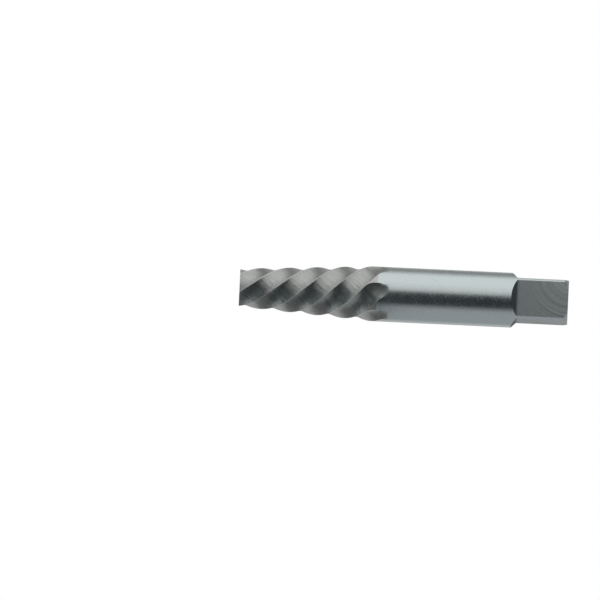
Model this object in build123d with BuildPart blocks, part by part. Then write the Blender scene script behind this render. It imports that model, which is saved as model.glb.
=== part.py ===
# Pipe nipple extractor for half-inch pipe, turned, fluted and milled from one bar of tool steel.
# It stands on its square drive end, with the origin at the middle of that end and +Z up to the tip.
from build123d import *
from math import atan, cos, degrees, radians, tan
import os

# Turned blank
overall_length = 104.8
shank_diameter = 17.46
tip_diameter = 12.15
taper_length = 41.8
drive_chamfer = 1.2

# Left-hand spiral flutes, wide and shallow, cut by the round rim of a grinding wheel
flute_count = 6
flute_length = 42.4  # from the tip to where the wheel stops
flute_lead = 53.3
flute_rim_radius = 9.0
flute_wheel_radius = 20.0
flute_wheel_angle = 42  # between the wheel and the bar's axis
flute_depth_at_tip = 0.68
flute_depth_at_shank = 0.90
ridge_angle = -109.5  # where a ridge meets the tip, in degrees round from +X

# Square drive for a tap wrench or a socket
square_across_flats = 13.1
square_length = 16.4
shoulder_length = 1.75
shoulder_root_radius = 0.6

# Centre holes in both ends, on which the blank ran while it was turned and ground
centre_hole_diameter = 2.0
centre_hole_mouth_diameter = 4.2
centre_hole_depth = 5.0
centre_hole_angle = 60
drill_point_angle = 118

# How far a cutter starts and ends outside the bar
clear_of_bar = 3

shank_radius = shank_diameter / 2
tip_radius = tip_diameter / 2
taper_start = overall_length - taper_length

# The bar is turned all over in one outline, from the drive end up to the tip
hole_radius = centre_hole_diameter / 2
mouth_radius = centre_hole_mouth_diameter / 2
mouth_depth = (mouth_radius - hole_radius) / tan(radians(centre_hole_angle / 2))
hole_bottom = centre_hole_depth + hole_radius / tan(radians(drill_point_angle / 2))
with BuildPart() as blank:
    with BuildSketch(Plane.XZ):
        with BuildLine():
            Polyline(
                (0, hole_bottom),
                (hole_radius, centre_hole_depth),
                (hole_radius, mouth_depth),
                (mouth_radius, 0),
                (shank_radius - drive_chamfer, 0),
                (shank_radius, drive_chamfer),
                (shank_radius, taper_start),
                (tip_radius, overall_length),
                (mouth_radius, overall_length),
                (hole_radius, overall_length - mouth_depth),
                (hole_radius, overall_length - centre_hole_depth),
                (0, overall_length - hole_bottom),
                close=True,
            )
        make_face()
    revolve(axis=Axis.Z)

# The middle of the wheel's rim follows a left-hand helix. Its cone slopes less than the bar's taper,
# so the flutes get shallower towards the tip and leave the same narrow land all the way.
path_radius_at_tip = tip_radius - flute_depth_at_tip + flute_rim_radius
path_radius_at_shank = shank_radius - flute_depth_at_shank + flute_rim_radius
path_slope = (path_radius_at_shank - path_radius_at_tip) / taper_length
path_cone_angle = degrees(atan(path_slope))
path_bottom = overall_length - flute_length
with BuildPart() as flute_cutter:
    with BuildLine() as path:
        Helix(
            pitch=flute_lead / cos(radians(path_cone_angle)),
            height=flute_length + clear_of_bar,
            radius=path_radius_at_tip + path_slope * flute_length,
            center=(0, 0, path_bottom),
            cone_angle=-path_cone_angle,
            lefthand=True,
        )
    stop_point = path.line @ 0
    outwards = Vector(stop_point.X, stop_point.Y, 0)
    heading = Vector(0, 0, 1).rotate(Axis((0, 0, 0), outwards), flute_wheel_angle)
    across_flute = Plane(origin=stop_point, x_dir=outwards, z_dir=heading)
    with BuildSketch(across_flute) as rim:
        with BuildLine():
            CenterArc((0, 0), flute_rim_radius, 90, 180)
            Line((0, -flute_rim_radius), (0, flute_rim_radius))
        make_face()
    sweep(path=path.line, is_frenet=True)
    # A quarter of the wheel itself, where it stopped and left the flute's rounded end
    wheel_centre = stop_point + across_flute.x_dir * (flute_wheel_radius - flute_rim_radius)
    revolve(rim.sketch, axis=Axis(wheel_centre, -across_flute.y_dir), revolution_arc=90)

# One flat of the square, with the slope and the small radius where the milling cutter ran out
half_square = square_across_flats / 2
shoulder_slope = shoulder_length / (shank_radius - half_square)
outside = shank_radius + clear_of_bar
with BuildPart() as flat_cutter:
    with BuildSketch(Plane.XZ) as flat_outline:
        with BuildLine():
            Polyline(
                (outside, -clear_of_bar),
                (half_square, -clear_of_bar),
                (half_square, square_length),
                (outside, square_length + (outside - half_square) * shoulder_slope),
                close=True,
            )
        make_face()
        root = flat_outline.vertices().sort_by_distance((half_square, square_length))[0]
        fillet(root, shoulder_root_radius)
    extrude(amount=outside, both=True)

# The flutes lie halfway between the ridges, and all of them end at the same height
flute_angle = ridge_angle + 360 * flute_length / flute_lead + 180 / flute_count
with BuildPart() as extractor:
    add(blank.part)
    with PolarLocations(0, flute_count, start_angle=flute_angle):
        add(flute_cutter.part, mode=Mode.SUBTRACT)
    with PolarLocations(0, 4):
        add(flat_cutter.part, mode=Mode.SUBTRACT)

extractor.part.label = "extractor"
os.makedirs("parts", exist_ok=True)
export_step(extractor.part, "parts/extractor.step")
print("Extractor", round(extractor.part.volume), "mm3, valid:", extractor.part.is_valid)
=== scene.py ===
from math import atan, ceil, hypot, pi, radians, tan

import bpy
from mathutils import Matrix, Vector


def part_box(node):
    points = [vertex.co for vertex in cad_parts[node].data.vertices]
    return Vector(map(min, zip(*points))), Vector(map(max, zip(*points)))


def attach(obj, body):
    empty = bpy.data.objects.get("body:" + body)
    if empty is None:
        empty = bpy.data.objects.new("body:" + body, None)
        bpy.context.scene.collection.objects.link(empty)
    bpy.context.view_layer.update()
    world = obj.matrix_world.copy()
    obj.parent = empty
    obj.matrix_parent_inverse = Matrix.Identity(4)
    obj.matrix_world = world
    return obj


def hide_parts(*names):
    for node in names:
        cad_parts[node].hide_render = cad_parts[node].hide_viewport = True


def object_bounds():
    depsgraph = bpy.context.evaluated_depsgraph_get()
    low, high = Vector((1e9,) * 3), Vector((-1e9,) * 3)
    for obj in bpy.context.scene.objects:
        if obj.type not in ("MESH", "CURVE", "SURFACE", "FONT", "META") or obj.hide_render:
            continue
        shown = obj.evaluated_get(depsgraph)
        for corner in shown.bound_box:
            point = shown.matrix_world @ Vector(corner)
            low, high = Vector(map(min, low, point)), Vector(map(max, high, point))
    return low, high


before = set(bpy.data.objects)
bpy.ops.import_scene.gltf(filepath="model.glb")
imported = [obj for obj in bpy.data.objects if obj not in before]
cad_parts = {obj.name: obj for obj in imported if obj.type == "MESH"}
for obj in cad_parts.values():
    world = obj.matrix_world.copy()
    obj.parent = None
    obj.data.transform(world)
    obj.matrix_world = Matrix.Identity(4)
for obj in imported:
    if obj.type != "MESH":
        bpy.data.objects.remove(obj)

scene = bpy.context.scene
cadLow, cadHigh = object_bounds()
mm = 0.001
barTop = cadHigh.z
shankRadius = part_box("extractor")[1].x
near = 0.002 * mm    # two points closer than this are the same place


# Helpers for modelling and for node trees

def only(obj):
    bpy.ops.object.select_all(action="DESELECT")
    obj.select_set(True)
    bpy.context.view_layer.objects.active = obj


def startEditing(obj):
    only(obj)
    bpy.ops.object.mode_set(mode="EDIT")
    bpy.ops.mesh.select_mode(type="VERT")
    bpy.ops.mesh.select_all(action="DESELECT")


def stopEditing():
    bpy.ops.object.mode_set(mode="OBJECT")


def pickPoints(obj, test):    # in edit mode, selects the points whose place passes the test
    bpy.ops.mesh.select_all(action="DESELECT")
    bpy.ops.object.mode_set(mode="OBJECT")
    for point in obj.data.vertices:
        point.select = test(point.co)
    bpy.ops.object.mode_set(mode="EDIT")


def rename(obj, name):
    obj.name = name
    obj.data.name = name


def node(tree, kind, spot, inputs=None, **settings):
    made = tree.nodes.new(kind)
    made.location = spot
    for key, value in settings.items():
        setattr(made, key, value)
    for key, value in (inputs or {}).items():
        if isinstance(value, bpy.types.NodeSocket):
            tree.links.new(value, made.inputs[key])
        else:
            made.inputs[key].default_value = value
    return made


# The round bar, turned between centres from the drive end up to the tip

blank = {
    "sides": 256,
    "ringGap": 2.0 * mm,         # rings along the bar, so that its shading stays even
    "tipRadius": 6.075 * mm,
    "taperLength": 41.8 * mm,
    "driveChamfer": 1.2 * mm,
    "holeRadius": 1.0 * mm,      # centre holes in both ends
    "mouthRadius": 2.1 * mm,
    "holeDepth": 5.0 * mm,
    "mouthAngle": radians(60),
    "drillAngle": radians(118),
    "facedLean": 0.6,            # faces that lean more than this to the axis are faced, not turned
    "weldDistance": 0.001 * mm,
    "smoothAngle": radians(28),
}


def ringsBetween(low, high):    # places from low to high, without low itself
    steps = max(1, ceil((high[1] - low[1]) / blank["ringGap"]))
    shares = [(i + 1) / steps for i in range(steps)]
    return [(low[0] + (high[0] - low[0]) * s, low[1] + (high[1] - low[1]) * s) for s in shares]


def modelBlank():
    hole, mouth = blank["holeRadius"], blank["mouthRadius"]
    mouthDepth = (mouth - hole) / tan(blank["mouthAngle"] / 2)
    pointDepth = hole / tan(blank["drillAngle"] / 2)
    chamferTop = (shankRadius, blank["driveChamfer"])
    taperStart = (shankRadius, barTop - blank["taperLength"])
    tip = (blank["tipRadius"], barTop)
    start = (hole, blank["holeDepth"])
    outline = [(hole, mouthDepth), (mouth, 0), (shankRadius - blank["driveChamfer"], 0), chamferTop]
    outline += ringsBetween(chamferTop, taperStart)
    outline += ringsBetween(taperStart, tip)
    outline += [(mouth, barTop), (hole, barTop - mouthDepth), (hole, barTop - blank["holeDepth"])]

    bpy.ops.object.select_all(action="DESELECT")
    bpy.ops.mesh.primitive_circle_add(vertices=blank["sides"], radius=start[0], location=(0, 0, start[1]))
    bar = bpy.context.object
    bpy.ops.object.transform_apply(location=True, rotation=False, scale=False)
    startEditing(bar)
    bpy.ops.mesh.select_all(action="SELECT")
    here = start
    for there in outline:
        bpy.ops.mesh.extrude_region_move(TRANSFORM_OT_translate={"value": (0, 0, there[1] - here[1])})
        grow = there[0] / here[0]
        bpy.ops.transform.resize(value=(grow, grow, 1), center_override=(0, 0, there[1]))
        here = there
    bpy.ops.mesh.extrude_region_move(TRANSFORM_OT_translate={"value": (0, 0, -pointDepth)})
    bpy.ops.mesh.merge(type="CENTER")
    pickPoints(bar, lambda p: abs(p.z - start[1]) < near and abs(hypot(p.x, p.y) - hole) < near)
    bpy.ops.mesh.extrude_region_move(TRANSFORM_OT_translate={"value": (0, 0, pointDepth)})
    bpy.ops.mesh.merge(type="CENTER")
    bpy.ops.mesh.select_all(action="SELECT")
    bpy.ops.mesh.normals_make_consistent(inside=False)
    stopEditing()
    rename(bar, "nippleExtractor")
    print("turned the bar:", len(bar.data.vertices), "points")
    return bar


# The grinding wheel: its rim lofted along a left-hand helix, and a quarter of it where it stops

flute = {
    "count": 6,
    "length": 42.4 * mm,
    "lead": 53.3 * mm,
    "rimRadius": 9.0 * mm,
    "wheelRadius": 20.0 * mm,
    "wheelAngle": radians(42),
    "depthAtTip": 0.68 * mm,
    "depthAtShank": 0.90 * mm,
    "ridgeAngle": radians(-109.5),   # where a ridge meets the tip
    "overrun": 3 * mm,
    "rimSides": 128,
    "stepsAlong": 96,
    "stepsAtEnd": 28,
}


def modelFluteWheel():
    rim, wheel = flute["rimRadius"], flute["wheelRadius"]
    atTip = blank["tipRadius"] - flute["depthAtTip"] + rim
    atShank = shankRadius - flute["depthAtShank"] + rim
    slope = (atShank - atTip) / blank["taperLength"]
    stopRadius = atTip + slope * flute["length"]
    stop = Vector((stopRadius, 0, barTop - flute["length"]))
    climb = atan(2 * pi * stopRadius / flute["lead"])
    stations = []
    wheelCentre = stop + Vector((wheel - rim, 0, 0))
    upright = Matrix.Rotation(flute["wheelAngle"], 3, "X")
    for i in range(flute["stepsAtEnd"], 0, -1):
        roll = Matrix.Rotation(pi / 2 * i / flute["stepsAtEnd"], 3, upright @ Vector((0, -1, 0)))
        stations.append((wheelCentre + roll @ (stop - wheelCentre), (roll @ upright).to_euler()))
    for i in range(flute["stepsAlong"] + 1):
        rise = (flute["length"] + flute["overrun"]) * i / flute["stepsAlong"]
        radius = stopRadius - slope * rise
        turn = -2 * pi * rise / flute["lead"]
        lean = flute["wheelAngle"] + atan(2 * pi * radius / flute["lead"]) - climb
        place = Matrix.Rotation(turn, 3, "Z") @ Vector((radius, 0, 0)) + Vector((0, 0, stop.z + rise))
        stations.append((place, (lean, 0, turn)))

    bpy.ops.object.select_all(action="DESELECT")
    for i, (place, turned) in enumerate(stations):
        bpy.ops.mesh.primitive_circle_add(
            vertices=flute["rimSides"], radius=rim, location=place, rotation=turned
        )
        if i == 0:
            cutter = bpy.context.object
            bpy.ops.object.transform_apply(location=True, rotation=True, scale=False)
            startEditing(cutter)
    bpy.ops.mesh.select_all(action="SELECT")
    bpy.ops.mesh.bridge_edge_loops()
    bpy.ops.mesh.select_all(action="SELECT")
    bpy.ops.mesh.fill_holes(sides=0)
    bpy.ops.mesh.select_all(action="SELECT")
    bpy.ops.mesh.normals_make_consistent(inside=False)
    stopEditing()
    rename(cutter, "fluteWheel")
    print("lofted the flute wheel:", len(cutter.data.vertices), "points")
    return cutter


# The block that mills one flat of the square, with its sloped shoulder

square = {
    "acrossFlats": 13.1 * mm,
    "length": 16.4 * mm,
    "shoulderLength": 1.75 * mm,
    "rootRadius": 0.6 * mm,
    "rootSegments": 8,
    "clear": 3 * mm,
    "flatLean": -0.99,    # the face of the block that looks this much towards the axis cuts the flat
}


def modelFlatBlock():
    inner = square["acrossFlats"] / 2
    outer = shankRadius + square["clear"]
    slope = square["shoulderLength"] / (shankRadius - inner)
    bottom, top = -square["clear"], square["length"]
    bpy.ops.object.select_all(action="DESELECT")
    bpy.ops.mesh.primitive_cube_add(
        size=1,
        location=((inner + outer) / 2, 0, (bottom + top) / 2),
        scale=(outer - inner, 2 * outer, top - bottom),
    )
    cutter = bpy.context.object
    bpy.ops.object.transform_apply(location=True, rotation=True, scale=True)
    startEditing(cutter)
    pickPoints(cutter, lambda p: p.x > outer - near and p.z > top - near)
    bpy.ops.transform.translate(value=(0, 0, (outer - inner) * slope))
    pickPoints(cutter, lambda p: p.x < inner + near and p.z > top - near)
    corner = pi / 2 + atan(slope)
    bpy.ops.mesh.bevel(
        offset=square["rootRadius"] / tan(corner / 2), segments=square["rootSegments"], affect="EDGES"
    )
    stopEditing()
    rename(cutter, "flatBlock")
    return cutter


def cut(bar, cutter, turn):
    cutter.rotation_euler.z = turn
    only(bar)
    bpy.ops.object.modifier_add(type="BOOLEAN")
    step = bar.modifiers[-1]
    step.operation = "DIFFERENCE"
    step.solver = "EXACT"
    step.material_mode = "TRANSFER"
    step.object = cutter
    bpy.ops.object.modifier_apply(modifier=step.name)


# Steel finishes, with painted shade and painted highlights, all on Object coordinates

noiseRange = (0.3, 0.7)    # where most values of a noise lie
noiseMiddle = 0.5


def noise(tree, spot, vector, scale, detail=3.0, roughness=0.6):
    return node(
        tree, "ShaderNodeTexNoise", spot,
        {"Vector": vector, "Scale": scale, "Detail": detail, "Roughness": roughness},
    ).outputs["Fac"]


def rings(tree, spot, distance, scale):    # noise that changes with one distance only
    return node(
        tree, "ShaderNodeTexNoise", spot, {"W": distance, "Scale": scale, "Detail": 3.0},
        noise_dimensions="1D",
    ).outputs["Fac"]


def stretch(tree, spot, vector, factors):
    return node(
        tree, "ShaderNodeVectorMath", spot, {0: vector, 1: factors}, operation="MULTIPLY"
    ).outputs["Vector"]


def sums(tree, spot, operation, first, second=0.0, third=0.0):
    inputs = {0: first, 1: second, 2: third}
    return node(tree, "ShaderNodeMath", spot, inputs, operation=operation).outputs[0]


def fade(tree, spot, value, low, high, atLow, atHigh):
    return node(
        tree, "ShaderNodeMapRange", spot,
        {"Value": value, "From Min": low, "From Max": high, "To Min": atLow, "To Max": atHigh},
    ).outputs["Result"]


def blend(tree, spot, share, first, second):
    return node(tree, "ShaderNodeMix", spot, {0: share, 6: first, 7: second}, data_type="RGBA").outputs[2]


def tone(colour, factor):
    return (*(min(1.0, part * factor) for part in colour), 1)


def toneBlend(tree, spot, share, colour, factors):    # from a darker to a lighter tone of one colour
    return blend(tree, spot, share, *(tone(colour, factor) for factor in factors))


def roughen(tree, spot, share, look):    # roughness that changes with a noise
    least, most = (look["roughness"] + change for change in look["roughRange"])
    return fade(tree, spot, share, *noiseRange, least, most)


def split(tree, place):    # into x, y and z
    return node(tree, "ShaderNodeSeparateXYZ", (-1800, -200), {0: place}).outputs


def fromAxis(tree, spot, parts):
    flat = node(tree, "ShaderNodeCombineXYZ", spot, {0: parts[0], 1: parts[1]}).outputs[0]
    return node(
        tree, "ShaderNodeVectorMath", (spot[0] + 180, spot[1]), {0: flat}, operation="LENGTH"
    ).outputs["Value"]


def untwist(tree, spot, vector, height, rate):    # turns each height back, so that a helix stands upright
    x, y = spot
    angle = sums(tree, (x, y - 160), "MULTIPLY", height, rate)
    return node(
        tree, "ShaderNodeVectorRotate", (x + 180, y), {"Vector": vector, "Angle": angle},
        rotation_type="Z_AXIS",
    ).outputs["Vector"]


def bump(tree, spot, height, depth, under=None):
    inputs = {"Height": height, "Distance": depth, "Strength": 1.0}
    if under:
        inputs["Normal"] = under
    return node(tree, "ShaderNodeBump", spot, inputs).outputs["Normal"]


def newSteel(name, look):    # gives the material, its tree, its shader and the place on the object
    material = bpy.data.materials.new(name)
    material.use_nodes = True
    material.diffuse_color = (*look["colour"], 1)
    tree = material.node_tree
    shader = tree.nodes["Principled BSDF"]
    shader.inputs["Metallic"].default_value = 1
    shader.inputs["Base Color"].default_value = (*look["colour"], 1)
    shader.inputs["Roughness"].default_value = look["roughness"]
    place = node(tree, "ShaderNodeTexCoord", (-2000, 0)).outputs["Object"]
    return material, tree, shader, place


def setSteel(tree, shader, colour, normal, rough=None):
    tree.links.new(colour, shader.inputs["Base Color"])
    tree.links.new(normal, shader.inputs["Normal"])
    if rough:
        tree.links.new(rough, shader.inputs["Roughness"])


roundLook = {
    "colour": (0.565, 0.625, 0.625),
    "roughness": 0.25,
    "roughRange": (-0.03, 0.05),
    "toneRange": (0.975, 1.02),
    "patchScale": 420,           # scales of noise are in periods a metre
    "patchLevels": (0.12, 0.40),
    "grainScale": 2400,
    "grainDepth": 0.006 * mm,
    "turningScale": (50, 50, 3200),
    "turningDepth": 0.005 * mm,
    "scratchRates": (96, -41, 13, -170),   # turn of each set of scratches, in radians a metre
    "scratchScale": (3600, 3600, 150),
    "scratchLevels": (0.745, 0.80),
    "scratchTone": 0.86,
    "scratchDepth": 0.010 * mm,
    "groundAndShadeColour": (0.48, 0.49, 0.475),
    "landRoughness": 0.34,
    "landRange": (0.86, 1.10),
    "landDepth": 0.022 * mm,
    "groundAndShadeFrom": 60.6 * mm,       # the taper and its start are ground and duller than the shank; their darker colour is also painted shade where the taper starts
    "landEdge": 0.8 * mm,        # how uneven the ground part's edge is
    "landFade": 0.4 * mm,
    "wearAndHighlightColour": (0.76, 0.78, 0.77),
    "wornRoughness": 0.40,
    "wearAndHighlightFrom": (64.0 * mm, 67.0 * mm),    # above this only the narrow lands of the ridges are left, lighter with wear and a painted highlight
}


def scratches(tree, spot, vector, height, rate):    # thin lines that wind round the bar at one rate
    x, y = spot
    across = untwist(tree, spot, vector, height, rate)
    across = stretch(tree, (x + 360, y), across, roundLook["scratchScale"])
    lines = noise(tree, (x + 540, y), across, 1, detail=1, roughness=0.5)
    return fade(tree, (x + 720, y), lines, *roundLook["scratchLevels"], 0, 1)


def makeRoundSteel():
    look = roundLook
    material, tree, shader, place = newSteel("roundSteel", look)
    parts = split(tree, place)
    grain = noise(tree, (-1400, 0), place, look["grainScale"])
    marks = stretch(tree, (-1600, -300), place, look["turningScale"])
    marks = noise(tree, (-1400, -300), marks, 1)
    patches = noise(tree, (-1400, 300), place, look["patchScale"])
    uneven = sums(tree, (-1200, -750), "MULTIPLY_ADD", patches, look["landEdge"], parts[2])
    landStart = look["groundAndShadeFrom"] + look["landEdge"] / 2
    groundAndShade = fade(tree, (-1200, -450), uneven, landStart, landStart + look["landFade"], 0, 1)
    # wear and a painted highlight: the narrow lands higher up are lighter
    wearAndHighlight = fade(tree, (-1200, -600), parts[2], *look["wearAndHighlightFrom"], 0, 1)
    share = sums(tree, (-1200, 200), "MULTIPLY", grain, patches)
    share = fade(tree, (-1000, 200), share, *look["patchLevels"], 0, 1)
    colour = toneBlend(tree, (-800, 200), share, look["colour"], look["toneRange"])
    share = fade(tree, (-1050, 500), marks, *noiseRange, 0, 1)
    # the ground taper is darker, partly a real finish and partly painted shade where the taper starts
    groundAndShadeTone = toneBlend(tree, (-900, 500), share, look["groundAndShadeColour"], look["landRange"])
    colour = blend(tree, (-700, 350), groundAndShade, colour, groundAndShadeTone)
    colour = blend(tree, (-600, 200), wearAndHighlight, colour, (*look["wearAndHighlightColour"], 1))
    rough = roughen(tree, (-1000, 0), patches, look)
    more = look["landRoughness"] - look["roughness"]
    rough = sums(tree, (-700, 0), "MULTIPLY_ADD", groundAndShade, more, rough)
    more = look["wornRoughness"] - look["landRoughness"]
    rough = sums(tree, (-600, 0), "MULTIPLY_ADD", wearAndHighlight, more, rough)
    lines = 0.0
    for i, rate in enumerate(look["scratchRates"]):
        found = scratches(tree, (-1900, -900 - 300 * i), place, parts[2], rate)
        lines = sums(tree, (-900, -900 - 300 * i), "MAXIMUM", found, lines)
    colour = blend(tree, (-400, 200), lines, colour, tone(look["colour"], look["scratchTone"]))
    normal = bump(tree, (-600, -200), grain, look["grainDepth"])
    normal = bump(tree, (-400, -200), marks, look["turningDepth"], normal)
    normal = bump(tree, (-200, -200), lines, look["scratchDepth"], normal)
    deeper = sums(tree, (-200, -400), "MULTIPLY", marks, groundAndShade)
    normal = bump(tree, (0, -200), deeper, look["landDepth"], normal)
    setSteel(tree, shader, colour, normal, rough)
    return material


groundLook = {
    "colour": (0.43, 0.445, 0.43),
    "roughness": 0.32,
    "roughRange": (-0.05, 0.05),
    "toneRange": (0.86, 1.12),
    "streakRate": -133,           # turn of a grinding streak round the bar, in radians a metre
    "streakScale": (1150, 1150, 150),
    "streakDepth": 0.090 * mm,
    "waveScale": (520, 520, 90),
    "waveDepth": 0.09 * mm,
    "grainScale": 3000,
    "grainDepth": 0.030 * mm,
    "wearAndHighlightColour": (0.72, 0.73, 0.71),
    "wornRoughness": 0.42,
    "wearAndHighlightDepth": 0.07 * mm,       # how far below a ridge its wear and painted highlight reach
}


def makeGroundSteel():
    look = groundLook
    material, tree, shader, place = newSteel("groundSteel", look)
    parts = split(tree, place)
    across = untwist(tree, (-1700, 200), place, parts[2], look["streakRate"])
    streaks = stretch(tree, (-1400, 300), across, look["streakScale"])
    streaks = noise(tree, (-1200, 300), streaks, 1, roughness=0.5)
    waves = stretch(tree, (-1400, 100), across, look["waveScale"])
    waves = noise(tree, (-1200, 100), waves, 1, detail=2, roughness=0.55)
    grain = noise(tree, (-1200, -100), place, look["grainScale"])
    slope = (shankRadius - blank["tipRadius"]) / blank["taperLength"]
    down = sums(tree, (-1500, -400), "SUBTRACT", barTop, parts[2])
    cone = sums(tree, (-1300, -400), "MULTIPLY_ADD", down, slope, blank["tipRadius"])
    cone = sums(tree, (-1100, -400), "MINIMUM", cone, shankRadius)
    under = sums(tree, (-900, -400), "SUBTRACT", cone, fromAxis(tree, (-1500, -600), parts))
    # near a ridge the steel is lighter and rougher: wear and a painted highlight
    wearAndHighlight = fade(tree, (-700, -400), under, 0, look["wearAndHighlightDepth"], 1, 0)
    share = fade(tree, (-900, 300), streaks, *noiseRange, 0, 1)
    colour = toneBlend(tree, (-700, 300), share, look["colour"], look["toneRange"])
    colour = blend(tree, (-500, 300), wearAndHighlight, colour, (*look["wearAndHighlightColour"], 1))
    rough = roughen(tree, (-700, 100), streaks, look)
    more = look["wornRoughness"] - look["roughness"]
    rough = sums(tree, (-300, 100), "MULTIPLY_ADD", wearAndHighlight, more, rough)
    normal = bump(tree, (-700, -100), waves, look["waveDepth"])
    normal = bump(tree, (-500, -100), streaks, look["streakDepth"], normal)
    normal = bump(tree, (-300, -100), grain, look["grainDepth"], normal)
    setSteel(tree, shader, colour, normal, rough)
    return material


milledLook = {
    "colour": (0.385, 0.42, 0.42),
    "roughness": 0.40,
    "toneRange": (0.80, 1.16),
    "arcCentre": (8.06 * mm, -0.7 * mm, 0),    # middle of the cutter's arcs: along the flat, then height
    "arcScale": 850,
    "arcDepth": 0.030 * mm,
    "arcTone": 3.0,                            # how much the arcs change the tone
    "arcFade": (6.5 * mm, 11.5 * mm),          # the arcs show below this height
    "arcRest": 0.12,                           # and this share of them is left above it
    "flatShift": 4 * mm,                       # keeps the arcs of the four flats from being alike
    "sheenFade": (4 * mm, 13 * mm),            # a painted sheen, lighter near the arcs' middle
    "sheenRange": (0.75, 0.36),
    "grainScale": 2300,
    "grainDepth": 0.014 * mm,
    "grainTone": 1.8,
    "rootShadeFade": 0.9 * mm,                      # painted shade: the flat darkens this close to its shoulder
    "rootShadeShare": 0.45,
    "rootShadeTone": 0.45,
}


def makeMilledSteel():
    look = milledLook
    material, tree, shader, place = newSteel("milledSteel", look)
    x, y, z = split(tree, place)
    wide = sums(tree, (-1600, 500), "ABSOLUTE", x)
    deep = sums(tree, (-1600, 350), "ABSOLUTE", y)
    onX = sums(tree, (-1400, 450), "GREATER_THAN", wide, deep)
    signX = sums(tree, (-1400, 300), "SIGN", x)
    signY = sums(tree, (-1400, 150), "SIGN", y)
    alongX = sums(tree, (-1200, 300), "MULTIPLY", signX, y)
    alongY = sums(tree, (-1200, 150), "MULTIPLY", sums(tree, (-1300, 0), "MULTIPLY", signY, -1), x)
    along = node(tree, "ShaderNodeMix", (-1000, 300), {0: onX, 2: alongY, 3: alongX}).outputs[0]
    offset = node(tree, "ShaderNodeCombineXYZ", (-800, 300), {0: along, 1: z}).outputs[0]
    distance = node(
        tree, "ShaderNodeVectorMath", (-600, 300), {0: offset, 1: look["arcCentre"]}, operation="DISTANCE"
    ).outputs["Value"]
    own = node(tree, "ShaderNodeMix", (-1000, 0), {0: onX, 2: signY, 3: signX}).outputs[0]
    own = sums(tree, (-900, -150), "ADD", own, onX)    # another number for each flat
    arcs = sums(tree, (-600, 100), "MULTIPLY_ADD", own, look["flatShift"], distance)
    arcs = rings(tree, (-400, 300), arcs, look["arcScale"])
    shown = fade(tree, (-600, -200), z, *look["arcFade"], 1, look["arcRest"])
    arcs = sums(tree, (-300, 450), "SUBTRACT", arcs, noiseMiddle)
    arcs = sums(tree, (-200, 300), "MULTIPLY", arcs, shown)
    grain = noise(tree, (-400, -300), place, look["grainScale"], roughness=0.65)
    # painted sheen: the flat is lighter near the middle of the arcs
    sheen = fade(tree, (-300, 650), distance, *look["sheenFade"], *look["sheenRange"])
    share = sums(tree, (0, 300), "MULTIPLY_ADD", arcs, look["arcTone"], sheen)
    specks = sums(tree, (-150, 100), "SUBTRACT", grain, noiseMiddle)
    share = sums(tree, (200, 300), "MULTIPLY_ADD", specks, look["grainTone"], share)
    colour = toneBlend(tree, (400, 300), share, look["colour"], look["toneRange"])
    top = square["length"]
    # painted shade darkens the flat next to its shoulder
    root = fade(tree, (0, -500), z, top - look["rootShadeFade"], top, 0, look["rootShadeShare"])
    colour = blend(tree, (600, 300), root, colour, tone(look["colour"], look["rootShadeTone"]))
    normal = bump(tree, (200, -100), arcs, look["arcDepth"])
    normal = bump(tree, (400, -100), grain, look["grainDepth"], normal)
    setSteel(tree, shader, colour, normal)
    return material


# the sloped shoulder's steel is painted dark, as shade
shoulderShadeLook = {
    "colour": (0.14, 0.175, 0.185),
    "roughness": 0.42,
    "toneRange": (0.6, 1.4),
    "grainScale": 2200,
    "grainDepth": 0.030 * mm,
}


def makeShoulderShadeSteel():
    look = shoulderShadeLook
    material, tree, shader, place = newSteel("shoulderShadeSteel", look)
    grain = noise(tree, (-800, 0), place, look["grainScale"])
    colour = toneBlend(tree, (-400, 200), grain, look["colour"], look["toneRange"])
    normal = bump(tree, (-400, -100), grain, look["grainDepth"])
    setSteel(tree, shader, colour, normal)
    return material


facedLook = {
    "colour": (0.52, 0.55, 0.55),
    "roughness": 0.36,
    "toneRange": (0.85, 1.1),
    "ringScale": 2600,
    "ringDepth": 0.020 * mm,
    "grainScale": 2600,
    "grainDepth": 0.020 * mm,
    # the centre holes are painted dark, as shade
    "holeShadeColour": (0.16, 0.17, 0.17),
    "holeShadeFade": 0.3 * mm,
}


def makeFacedSteel():
    look = facedLook
    material, tree, shader, place = newSteel("facedSteel", look)
    radius = fromAxis(tree, (-1500, 0), split(tree, place))
    marks = rings(tree, (-1000, 0), radius, look["ringScale"])
    grain = noise(tree, (-1000, -300), place, look["grainScale"])
    colour = toneBlend(tree, (-600, 200), marks, look["colour"], look["toneRange"])
    edge = blank["holeRadius"]
    # painted shade darkens the centre holes
    hole = fade(tree, (-800, 300), radius, edge, edge + look["holeShadeFade"], 1, 0)
    colour = blend(tree, (-400, 200), hole, colour, (*look["holeShadeColour"], 1))
    normal = bump(tree, (-600, -100), marks, look["ringDepth"])
    normal = bump(tree, (-400, -100), grain, look["grainDepth"], normal)
    setSteel(tree, shader, colour, normal)
    return material


roundSteel = makeRoundSteel()
groundSteel = makeGroundSteel()
milledSteel = makeMilledSteel()
shoulderShadeSteel = makeShoulderShadeSteel()
facedSteel = makeFacedSteel()
print("mixed the steels")


# The tool

bar = modelBlank()
for material in (roundSteel, facedSteel):
    bar.data.materials.append(material)
for face in bar.data.polygons:
    radius = hypot(face.center.x, face.center.y)
    if abs(face.normal.z) > blank["facedLean"] or radius < blank["mouthRadius"]:
        face.material_index = 1

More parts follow.
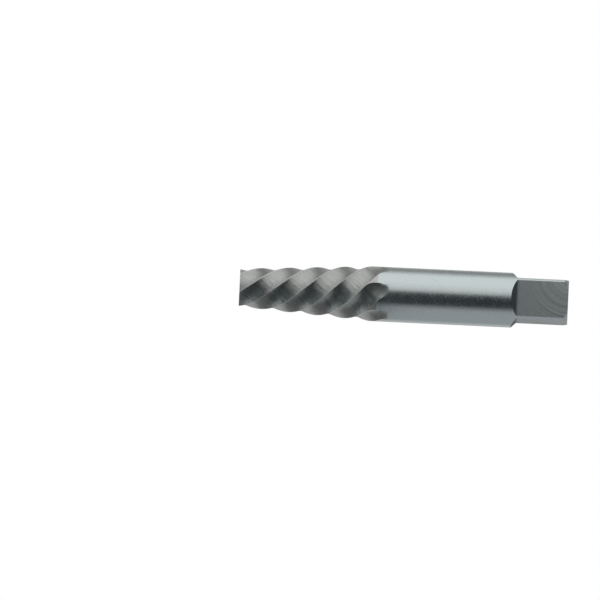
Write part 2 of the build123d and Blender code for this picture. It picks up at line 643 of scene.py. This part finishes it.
wheel = modelFluteWheel()
wheel.data.materials.append(groundSteel)
firstFlute = flute["ridgeAngle"] + 2 * pi * flute["length"] / flute["lead"] + pi / flute["count"]
for i in range(flute["count"]):
    cut(bar, wheel, firstFlute + 2 * pi * i / flute["count"])
bpy.data.objects.remove(wheel)
print("ground the flutes:", len(bar.data.vertices), "points")

block = modelFlatBlock()
for material in (milledSteel, shoulderShadeSteel):
    block.data.materials.append(material)
for face in block.data.polygons:
    face.material_index = 0 if face.normal.x < square["flatLean"] else 1
for i in range(4):
    cut(bar, block, pi / 2 * i)
bpy.data.objects.remove(block)
print("milled the square:", len(bar.data.vertices), "points")

startEditing(bar)
bpy.ops.mesh.select_all(action="SELECT")
bpy.ops.mesh.remove_doubles(threshold=blank["weldDistance"])
stopEditing()
only(bar)
bpy.ops.object.shade_smooth_by_angle(angle=blank["smoothAngle"])
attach(bar, "root")
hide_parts("extractor")


# Camera, square to the tool's side as in the photograph, where the tool lies with its tip to the left

photo = {
    "pixels": 600,
    "pixelSize": 0.3186 * mm,        # the tool is 328.9 pixels long
    "azimuth": radians(-7.4),
    "axisSlope": 0.0465,             # its axis falls this much to the right
    "tipPixel": (239.5, 287.56),
    "distance": 2.0,
}
back = Matrix.Rotation(photo["azimuth"], 3, "Z") @ Vector((0, -1, 0))
across = Matrix.Rotation(photo["azimuth"], 3, "Z") @ Vector((1, 0, 0))


def placeCamera():
    tilt = Matrix.Rotation(atan(photo["axisSlope"]), 3, back)
    right = tilt @ Vector((0, 0, -1))
    up = tilt @ across
    middle = photo["pixels"] / 2
    shift = Vector((middle - photo["tipPixel"][0], middle - photo["tipPixel"][1])) * photo["pixelSize"]
    centre = Vector((0, 0, barTop)) + right * shift.x - up * shift.y
    bpy.ops.object.camera_add()
    camera = bpy.context.object
    camera.data.type = "ORTHO"
    camera.data.ortho_scale = photo["pixels"] * photo["pixelSize"]
    camera.matrix_world = Matrix((right, up, back)).transposed().to_4x4()
    camera.location = centre + back * photo["distance"]
    scene.camera = camera


# Floor, cards and light

studio = {
    "worldForShade": 0.60,
    "worldSeen": 1.0,
    "floorSize": 4.0,
    "floorColour": (0.98, 0.98, 0.98),
    "floorRoughness": 0.9,
    # name, from and to in degrees round the tool from the camera towards the lit side,
    # distance, lowest and highest place, brightness
    "cards": [
        ("frontCard", -38, 13, 0.30, -0.44, 0.60, (0.038, 0.045, 0.048)),
        ("frontEdgeCard", 13, 20, 0.30, -0.44, 0.60, 0.38),
        ("softCard", 20, 32, 0.30, -0.44, 0.60, 0.77),
        ("paleCard", 32, 48, 0.30, -0.44, 0.60, 0.91),
        ("frontHighCard", -38, 13, 0.29, 0.10, 0.60, (0.085, 0.100, 0.106)),
        ("frontTipCard", 13, 30, 0.29, 0.10, 0.60, (0.085, 0.100, 0.106)),
        ("highTipEdgeCard", 30, 60, 0.29, 0.18, 0.60, 0.51),
        ("highTipCard", 60, 118, 0.29, 0.22, 0.60, 0.60),
        ("rimCard", 102, 116, 0.30, -0.44, 0.60, 0.64),
        ("sideCard", 116, 150, 0.30, -0.44, 0.60, 0.33),
        ("backEdgeCard", 150, 168, 0.30, -0.44, 0.60, 0.62),
        ("backCard", 168, 196, 0.30, -0.44, 0.60, 0.10),
        ("backSideCard", 196, 232, 0.30, -0.44, 0.60, 0.62),
        ("lowEdgeCard", -47, -36, 0.06, -0.25, 0.060, 0.25),
        ("lowCard", -128, -47, 0.06, -0.25, 0.060, (0.42, 0.43, 0.45)),
        ("lowFarCard", -80, -38, 0.30, -0.44, 0.240, (0.070, 0.081, 0.087)),
        ("underFarCard", -128, -80, 0.30, -0.44, 0.60, 0.19),
        ("lowTipCard", -80, -38, 0.29, 0.240, 0.80, (0.66, 0.70, 0.72)),
    ],
    # name, size, height, brightness
    "bottomCards": [
        ("bottomCard", 0.30, -0.45, 0.20),
        ("wideBottomCard", 1.60, -0.46, 0.60),
    ],
}


def plainGlow(name, glow):    # glow is a brightness or a colour
    colour = glow if isinstance(glow, tuple) else (glow, glow, glow)
    material = bpy.data.materials.new(name)
    material.use_nodes = True
    tree = material.node_tree
    tree.nodes.clear()
    light = node(tree, "ShaderNodeEmission", (0, 0), {"Color": (*colour, 1), "Strength": 1})
    node(tree, "ShaderNodeOutputMaterial", (200, 0), {"Surface": light.outputs[0]})
    return material


def setCard(card, name, level):    # a card is there for the steel to reflect, and for nothing else
    rename(card, name)
    card.data.materials.append(plainGlow(name, level))
    card.visible_camera = False
    card.visible_diffuse = False
    card.visible_shadow = False
    card.visible_transmission = False


def placeCards():
    for name, start, end, distance, low, high, level in studio["cards"]:
        middle, half = radians((start + end) / 2), radians((end - start) / 2)
        away = Matrix.Rotation(middle, 3, "Z") @ back
        bpy.ops.mesh.primitive_plane_add(
            size=1,
            location=away * distance + Vector((0, 0, (low + high) / 2)),
            rotation=(-away).to_track_quat("Z", "Y").to_euler(),
        )
        card = bpy.context.object
        card.scale = (2 * distance * tan(half), high - low, 1)
        setCard(card, name, level)
    for name, size, height, level in studio["bottomCards"]:
        bpy.ops.mesh.primitive_plane_add(size=size, location=(0, 0, height))
        setCard(bpy.context.object, name, level)


def makeFloor():
    bpy.ops.mesh.primitive_plane_add(size=studio["floorSize"])
    floor = bpy.context.object
    rename(floor, "floor")
    material = bpy.data.materials.new("paleFloor")
    material.use_nodes = True
    shader = material.node_tree.nodes["Principled BSDF"]
    shader.inputs["Base Color"].default_value = (*studio["floorColour"], 1)
    shader.inputs["Roughness"].default_value = studio["floorRoughness"]
    floor.data.materials.append(material)
    floor.visible_glossy = False    # the steel mirrors the cards all the way down


def makeWorld():
    world = bpy.data.worlds.new("studio")
    scene.world = world
    world.use_nodes = True
    tree = world.node_tree
    tree.nodes.clear()
    path = node(tree, "ShaderNodeLightPath", (-800, 0))
    seen = path.outputs["Is Camera Ray"]
    for i, ray in enumerate(("Is Glossy Ray", "Is Transmission Ray")):
        seen = sums(tree, (-600 + 180 * i, 0), "MAXIMUM", seen, path.outputs[ray])
    level = fade(tree, (-200, 0), seen, 0, 1, studio["worldForShade"], studio["worldSeen"])
    sky = node(tree, "ShaderNodeBackground", (0, 0), {"Color": (1, 1, 1, 1), "Strength": level})
    node(tree, "ShaderNodeOutputWorld", (200, 0), {"Surface": sky.outputs[0]})


lamp = {"size": 1.5, "height": 2.1, "side": 1.05, "forward": 0.45, "power": 32}


def placeLamp():
    spot = across * lamp["side"] + back * lamp["forward"] + Vector((0, 0, lamp["height"]))
    bpy.ops.object.light_add(type="AREA", location=spot)
    light = bpy.context.object
    light.name = "softbox"
    light.rotation_euler = (-spot).to_track_quat("-Z", "Y").to_euler()
    light.data.shape = "SQUARE"
    light.data.size = lamp["size"]
    light.data.energy = lamp["power"]
    light.visible_glossy = False


placeCamera()
makeFloor()
placeCards()
makeWorld()
placeLamp()
scene.view_settings.view_transform = "Standard"
print("set the camera, the floor and the lights")
